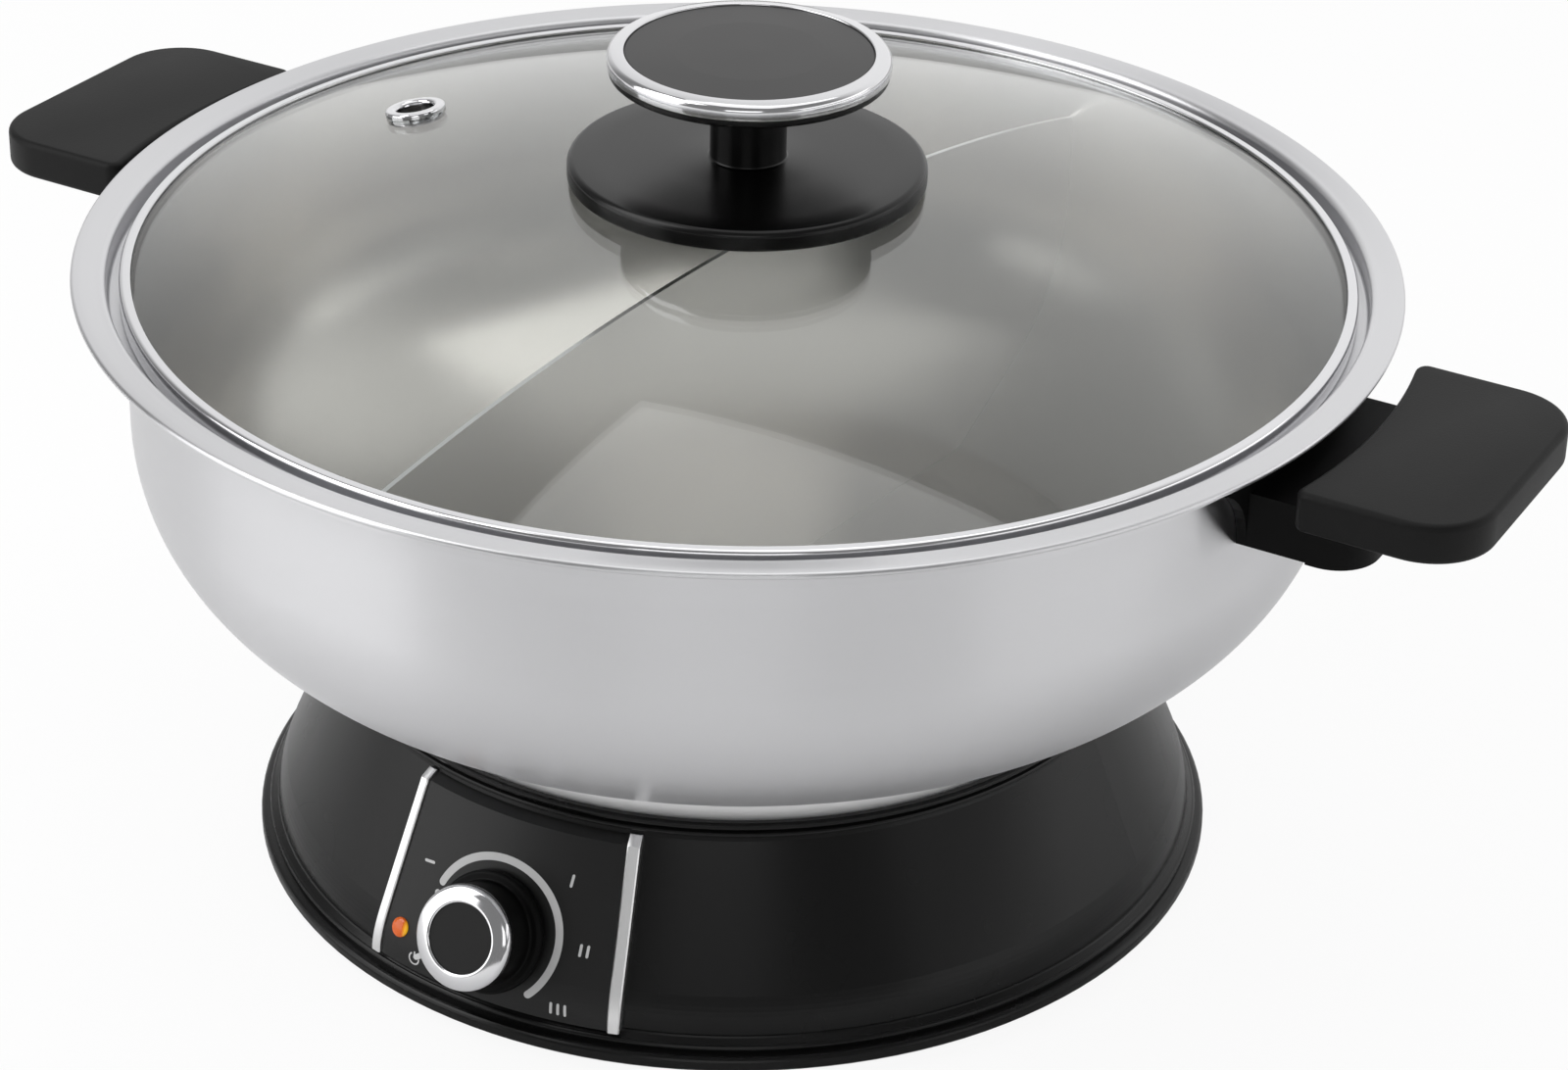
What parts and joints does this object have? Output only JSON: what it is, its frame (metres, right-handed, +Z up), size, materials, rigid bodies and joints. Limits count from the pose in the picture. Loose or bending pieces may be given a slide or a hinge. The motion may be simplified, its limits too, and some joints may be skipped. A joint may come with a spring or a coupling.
{
  "type": "electric hot pot",
  "caption": "Electric hot pot: divided steel pot with side handles and a domed glass lid on a heated base with a temperature dial.",
  "frame": {"origin": "centre of the feet's contact plane, on the axis of the pot", "axes": "+Z up along the pot's axis, -Y towards the control dial, X through both handles"},
  "size_m": [0.407, 0.32, 0.2111],
  "materials": {
    "black_plastic": "satin black moulding",
    "panel_black": "matt black",
    "rubber": "soft black",
    "polished_steel": "polished",
    "pot_steel": "satin stainless",
    "base_disc_steel": "turned, bright",
    "zinc_steel": "zinc plated",
    "cast_aluminium": "machined",
    "element_steel": "oxidised",
    "thermostat_shell": "pale phenolic",
    "terminal_white": "off white",
    "sensor_brown": "brown phenolic",
    "amber_lens": "amber, clear",
    "lamp_glass": "clear",
    "clear_glass": "clear, tempered",
    "white_mark": "white",
    "knob_black": "gloss black"
  },
  "bodies": {
    "base": {"base_housing": "black_plastic", "control_panel": "panel_black", "trim_strip_left": "polished_steel", "trim_strip_right": "polished_steel", "bottom_plate": "black_plastic", "feet": "rubber", "base_screws": "zinc_steel", "plate_carrier": "zinc_steel", "heating_plate": "cast_aluminium", "heating_element": "element_steel", "tie_rods": "zinc_steel", "tie_nuts": "zinc_steel", "thermal_cutout": "sensor_brown", "thermostat_body": "thermostat_shell", "thermostat_screws": "zinc_steel", "terminal_block": "terminal_white", "cord_gland": "rubber", "indicator_lens": "amber_lens", "indicator_lamp": "lamp_glass"},
    "dial": {"thermostat_shaft": "zinc_steel", "dial_body": "black_plastic", "dial_ring": "polished_steel", "dial_face": "panel_black", "dial_pointer": "white_mark"},
    "pot": {"pot_bowl": "pot_steel", "pot_base_disc": "base_disc_steel", "pot_divider": "pot_steel", "handle_sleeves": "pot_steel", "handle_guard_right": "black_plastic", "handle_guard_left": "black_plastic", "handle_grip_right": "panel_black", "handle_grip_left": "panel_black", "handle_screws": "zinc_steel"},
    "lid": {"lid_glass": "clear_glass", "lid_rim_ring": "polished_steel", "lid_vent_eyelet": "polished_steel", "lid_knob_body": "knob_black", "lid_knob_ring": "polished_steel", "lid_knob_inlay": "knob_black", "lid_knob_screw": "zinc_steel", "lid_knob_washer": "zinc_steel", "lid_knob_gaskets": "rubber"}
  },
  "joints": [
    {"name": "dial_turn", "type": "hinge", "parent": "base", "child": "dial", "pos_m": [0, -0.11357, 0.0273], "axis": [0, 0.9177, -0.3972], "range_deg": [0, 252]},
    {"name": "pot_lift", "type": "slide", "parent": "base", "child": "pot", "axis": [0, 0, 1], "range_m": [0, 0.06]},
    {"name": "lid_lift", "type": "slide", "parent": "pot", "child": "lid", "axis": [0, 0, 1], "range_m": [0, 0.07]}
  ]
}
